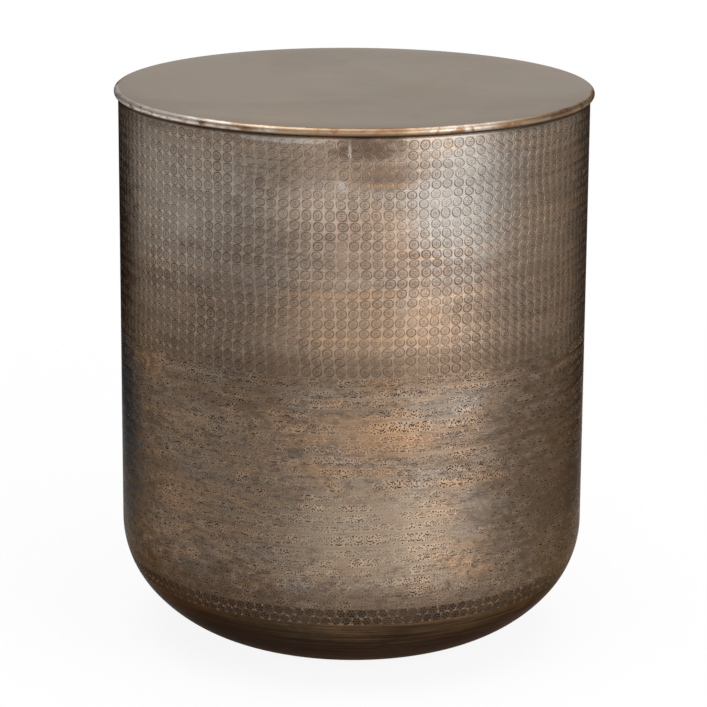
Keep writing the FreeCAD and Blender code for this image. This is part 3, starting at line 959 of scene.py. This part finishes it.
def layMap(shape, skin, strips, rows):
    # the punched skin unrolled in equal parts on a grid, the edges and the inside in one strip below it
    layer = shape.loops.layers.uv.new("OFBake")
    columns, margin, edges = mapForm["columns"], mapForm["margin"], mapForm["edges"]
    parts = columns * rows
    drops = {vert: skinDrop(vert.co.z) for face in skin for vert in face.verts}
    top = min(drops.values())
    girth = fullTurn * drumForm["radius"]
    cellWide, cellTall = girth / parts + 2 * margin, max(drops.values()) - top + 2 * margin
    for face in skin:
        middle = bearingOf(face.calc_center_median())
        part = int((middle + pi) / fullTurn * parts) % parts
        for loop in face.loops:
            along = bearingNear(loop.vert.co, middle) * drumForm["radius"] - part * girth / parts
            across = part % columns * cellWide + margin + along
            down = part // columns * cellTall + margin + drops[loop.vert] - top
            loop[layer].uv = across / (columns * cellWide), edges + (1 - edges) * down / (rows * cellTall)
    total = strips[-1][3]
    for faces, upper, start, end in strips:
        for face in faces:
            middle = bearingOf(face.calc_center_median())
            for loop in face.loops:
                turn = bearingNear(loop.vert.co, middle)
                along = start if loop.vert in upper else end
                loop[layer].uv = 0.01 + 0.98 * turn / fullTurn, edges * (0.06 + 0.84 * along / total)


def closeBand(mesh, backProfile, mapRows):
    # gives a punched skin its edges and its inside face; backProfile runs from the top edge to the low edge
    shape = bmesh.new()
    shape.from_mesh(mesh)
    skin = list(shape.faces)
    rim = {vert for edge in shape.edges if edge.is_boundary for vert in edge.verts}
    middle = (max(vert.co.z for vert in rim) + min(vert.co.z for vert in rim)) / 2
    bearing = {vert: bearingOf(vert.co) for vert in rim}
    above = sorted((vert for vert in rim if vert.co.z > middle), key=bearing.get)
    below = sorted((vert for vert in rim if vert.co.z < middle), key=bearing.get)
    rings = [above]
    for radius, height in backProfile:
        rings.append([shape.verts.new(atBearing(radius, bearing[vert], height)) for vert in above])
    rings.append(below)
    strips, along = [], 0.0
    for first, second in zip(rings, rings[1:]):
        start, end = first[0].co, second[0].co
        reach = hypot(hypot(start.x, start.y) - hypot(end.x, end.y), start.z - end.z)
        strips.append((joinRings(shape, first, second), set(first), along, along + reach))
        along += reach
    layMap(shape, skin, strips, mapRows)
    bmesh.ops.recalc_face_normals(shape, faces=shape.faces)
    for face in shape.faces:
        face.material_index = 0
    shape.to_mesh(mesh)
    shape.free()


def makePunchedWall(form, names, low, high, topBack, lowBack, tiles, finish, node):
    # one band of rows for each name, from the lowest up, so that no piece gets too heavy
    radius, inner = drumForm["radius"], drumForm["radius"] - drumForm["sheet"]
    rows = form["rows"]
    rowHeight = (high - low) / rows
    punches = bpy.data.collections.new("punches")
    for number, marks in enumerate(tiles):
        width = fullTurn * radius / form["columns"] / mm
        makeTile(f"punch{number:02d}", punches, width, rowHeight / mm, marks, form)
    steps = [round(rows * step / len(names)) for step in range(len(names) + 1)]
    for name, first, last in zip(names, steps, steps[1:]):
        edge, top = low + first * rowHeight, low + last * rowHeight
        mesh = punchBand(name, {
            "Punches": punches, "Columns": form["columns"], "Rows": last - first, "Row Height": rowHeight,
            "Low Edge": edge, "Zone Low": low, "Zone High": high, "Drum Radius": radius,
            "Corner Height": drumForm["cornerUp"], "Knuckle Radius": drumForm["knuckle"],
            "Seed": form["seed"] + first, "Finish": finish, **form["punching"]})
        back = (topBack if last == rows else [(inner, top)]) + ([(inner, edge)] if first else lowBack)
        closeBand(mesh, back, form["mapRows"])
        addPiece(name, mesh, finish, drumForm["sharpAngle"], "drum", node)
    for tile in list(punches.objects):
        bpy.data.meshes.remove(tile.data)
    bpy.data.collections.remove(punches)


rollForm = {
    "radius": 3.5 * mm,
    "up": wallHigh.z - 3.5 * mm,  # middle of the rolled mouth
    "steps": 14,
}


def makeUpperWall():
    outside, sheet, steps = rollForm["radius"], drumForm["sheet"], rollForm["steps"]
    rollAt = (drumForm["radius"] - outside, rollForm["up"])
    rollEnd = radians(270)
    mouth = arcPoints(rollAt, outside, 0, rollEnd, steps)[1:]
    mouth += arcPoints(rollAt, outside - sheet, rollEnd, 0, steps)
    makePunchedWall(
        circleForm, ("circle_wall_low", "circle_wall_middle", "circle_wall_top"), wallLow.z, rollForm["up"],
        mouth, [(drumForm["radius"] - sheet, wallLow.z)], circleMarks(), circleBronze, "upper_wall")


makeUpperWall()
print("upper wall made")


def cornerPoint(turn, inset=0.0):
    # a point of the soft corner's profile after that turn from upright, inset towards the inside
    form = drumForm
    reach = form["knuckle"]
    x, y = form["radius"] - reach, form["cornerUp"]
    if turn > form["knuckleTurn"]:
        reach = form["crown"]
        x -= (reach - form["knuckle"]) * cos(form["knuckleTurn"])
        y += (reach - form["knuckle"]) * sin(form["knuckleTurn"])
    return x + (reach - inset) * cos(turn), y - (reach - inset) * sin(turn)


def insideCorner(startTurn, endTurn, steps):
    return [cornerPoint(startTurn + (endTurn - startTurn) * step / steps, drumForm["sheet"])
            for step in range(steps + 1)]


def makeLowerBowl():
    form = drumForm
    inner, lapOut, lapIn = form["radius"] - form["sheet"], form["lapRadius"], form["lapRadius"] - form["sheet"]
    lap = [(lapOut, form["seam"]), (lapOut, form["lapTop"]), (lapIn, form["lapTop"]), (lapIn, form["seam"]),
           (inner, form["joggleLow"])]
    sprigEnd, borderEnd = sprigForm["endTurn"], borderForm["endTurn"]
    sprigLow, borderLow = (form["cornerUp"] - form["knuckle"] * turn for turn in (sprigEnd, borderEnd))
    makePunchedWall(
        sprigForm, ("sprig_wall_low", "sprig_wall_middle", "sprig_wall_top"), sprigLow, form["seam"],
        lap, insideCorner(0.0, sprigEnd, 6), sprigMarks(), sprigBronze, "lower_bowl")
    makePunchedWall(
        borderForm, ("rosette_border",), borderLow, sprigLow,
        [], insideCorner(sprigEnd, borderEnd, 4), rosetteMarks(), borderBronze, "lower_bowl")


makeLowerBowl()
print("lower bowl made")

baseForm = {
    "segments": 192,
    "lineStep": radians(0.34),  # spacing of the turned lines, as turn of the corner
    "lineDepth": 0.07 * mm,
    "recessOutside": 75.6 * mm,
    "recessInside": 71.6 * mm,
    "recessDepth": 4.0 * mm,
    "sharpAngle": 40,
}


def makeTurnedBase():
    form, base = drumForm, baseForm
    sheet, corner, crownEnd, baseUp = form["sheet"], form["baseCorner"], form["crownEnd"], form["baseUp"]
    recessOut, recessIn, recessUp = base["recessOutside"], base["recessInside"], baseUp + base["recessDepth"]
    outside = []
    turn, ridge = borderForm["endTurn"], 0
    while turn < crownEnd - base["lineStep"]:
        outside.append(cornerPoint(turn, base["lineDepth"] * (ridge % 3 == 1)))
        turn += base["lineStep"] * 0.5
        ridge += 1
    middle = (cornerPoint(crownEnd)[0] - corner * cos(crownEnd), baseUp + corner)
    outside += arcPoints(middle, corner, -crownEnd, -pi / 2, 6)
    outside += [(recessOut, baseUp), (recessIn, recessUp), (0.0, recessUp)]
    inside = [(0.0, recessUp + sheet), (recessIn, recessUp + sheet), (recessOut, baseUp + sheet)]
    inside += arcPoints(middle, corner - sheet, -pi / 2, -crownEnd, 6)
    inside += insideCorner(crownEnd, form["knuckleTurn"], 14)
    inside += insideCorner(form["knuckleTurn"], borderForm["endTurn"], 6)[1:]
    mesh = turnedMesh("turned_base", outside + inside, base["segments"])
    addPiece("turned_base", mesh, baseBronze, base["sharpAngle"], "drum", "lower_bowl")


makeTurnedBase()

# the solids' own finishes

for finish, nodeNames in (
    (millSteel, ("rim_wire", "mouth_wire", "locating_ring", "brace_bar_long", "brace_bar_cross", "seam_strip")),
    (footRubber, ("rubber_foot_1", "rubber_foot_2", "rubber_foot_3", "rubber_foot_4")),
    (lidBronze, ("lid_sheet",)),
    (circleBronze, ("upper_wall",)),
    (sprigBronze, ("lower_bowl",)),
):
    for nodeName in nodeNames:
        dress(frame["nodes"][nodeName].data, finish)
print("solids dressed")

# floor, light and camera

stageLook = {
    "floor": (0.85, 0.85, 0.85),
    "floorSize": 14.0,
    "floorDrop": 0.3 * mm,  # kept just under the feet
    "white": 0.9,  # share of plain white in the floor where the camera or the metal sees it
    "whiteNear": 0.4,  # from here the floor fades to all white
    "whiteFar": 1.4,
    "world": (0.55, 0.57, 0.6),
    "worldStrength": 0.3,
}


def whiten(tree, share, surface, kind, output):
    # plain white in place of that share of the surface
    white = addNode(tree, kind, {"Color": (1, 1, 1), "Strength": 1.0})
    blend = addNode(tree, "ShaderNodeMixShader", {0: share, 1: surface.outputs[0], 2: white.outputs[0]})
    feed(blend.outputs[0], tree.nodes[output].inputs["Surface"])


def addCard(name, corners, material):
    mesh = bpy.data.meshes.new(name)
    mesh.from_pydata(corners, [], [(0, 1, 2, 3)])
    mesh.materials.append(material)
    return newObject(name, mesh)


def makeFloor():
    look = stageLook
    half, down = look["floorSize"] / 2, -look["floorDrop"]
    material, tree, shader = newMaterial("paleFloor", {
        "Base Color": look["floor"], "Roughness": 0.85, "Specular IOR Level": 0.1})
    path = addNode(tree, "ShaderNodeLightPath").outputs
    seen = calc("MAXIMUM", path["Is Glossy Ray"], path["Is Transmission Ray"])
    seen = calc("MAXIMUM", path["Is Camera Ray"], seen)
    away = lengthOf(objectCoords(tree))
    share = times(seen, ramp(away, look["whiteNear"], look["whiteFar"], look["white"], 1.0))
    whiten(tree, share, shader, "ShaderNodeEmission", "Material Output")
    corners = [(-half, -half, down), (half, -half, down), (half, half, down), (-half, half, down)]
    addCard("studio_floor", corners, material)


def makeWorld():
    world = bpy.data.worlds.new("studio")
    world.use_nodes = True
    tree = world.node_tree
    back = tree.nodes["Background"]
    feed(stageLook["world"], back.inputs["Color"])
    feed(stageLook["worldStrength"], back.inputs["Strength"])
    seen = addNode(tree, "ShaderNodeLightPath").outputs["Is Camera Ray"]
    whiten(tree, seen, back, "ShaderNodeBackground", "World Output")
    scene.world = world


softboxes = [
    # name, bearing from the camera side in degrees to the right, distance, height, wide, tall, watts
    ("key_box", 42, 2.4, 0.8, 1.9, 1.6, 46),
    ("fill_box", -4, 2.8, 0.9, 1.8, 1.4, 19),
    ("back_panel", 180, 3.6, 1.3, 3.4, 1.8, 16),
    ("top_box", 0, 0.2, 3.0, 3.2, 3.2, 105),
]


def aimAt(obj, target):
    obj.rotation_euler = (target - obj.location).to_track_quat("-Z", "Y").to_euler()


def makeLights():
    for name, bearing, distance, height, wide, tall, watts in softboxes:
        light = bpy.data.lights.new(name, "AREA")
        light.shape = "RECTANGLE"
        light.size = wide
        light.size_y = tall
        light.energy = watts
        lamp = newObject(name, light)
        lamp.location = atBearing(distance, radians(bearing), height)
        aimAt(lamp, Vector((0, 0, 0.25)))


flags = [
    # name, aside, near, far, tall: black cards beside the drum, out of the frame, seen only in the metal
    ("left_flag", -0.43, 0.16, 1.5, 1.4),
    ("right_flag", 0.43, 0.19, 1.5, 0.75),
]


def makeFlags():
    material = newMaterial("blackCard", {
        "Base Color": (0.012, 0.012, 0.013), "Roughness": 0.9, "Specular IOR Level": 0.05})[0]
    for name, aside, near, far, tall in flags:
        corners = [(aside, near, 0), (aside, far, 0), (aside, far, tall), (aside, near, tall)]
        flag = addCard(name, corners, material)
        flag.visible_camera = False
        flag.visible_diffuse = False
        flag.visible_shadow = False


cameraLook = {
    "elevation": radians(14.72),
    "distance": 2.67,
    "middle": Vector((0, 0, 0.235)),
    "aim": Vector((0.00077, 0, 0.2389)),
    "lens": 159.55,
    "sensor": 36,
    "roll": 0.0065,
}


def makeCamera():
    look = cameraLook
    camera = newObject("camera", bpy.data.cameras.new("camera"))
    outward = Vector((0, -cos(look["elevation"]), sin(look["elevation"])))
    camera.location = look["middle"] + look["distance"] * outward
    aimAt(camera, look["aim"])
    camera.rotation_euler.rotate_axis("Z", look["roll"])
    camera.data.lens = look["lens"]
    camera.data.sensor_width = look["sensor"]
    scene.camera = camera


makeFloor()
makeWorld()
makeLights()
makeFlags()
makeCamera()
scene.view_settings.view_transform = "Standard"
print("stage set")
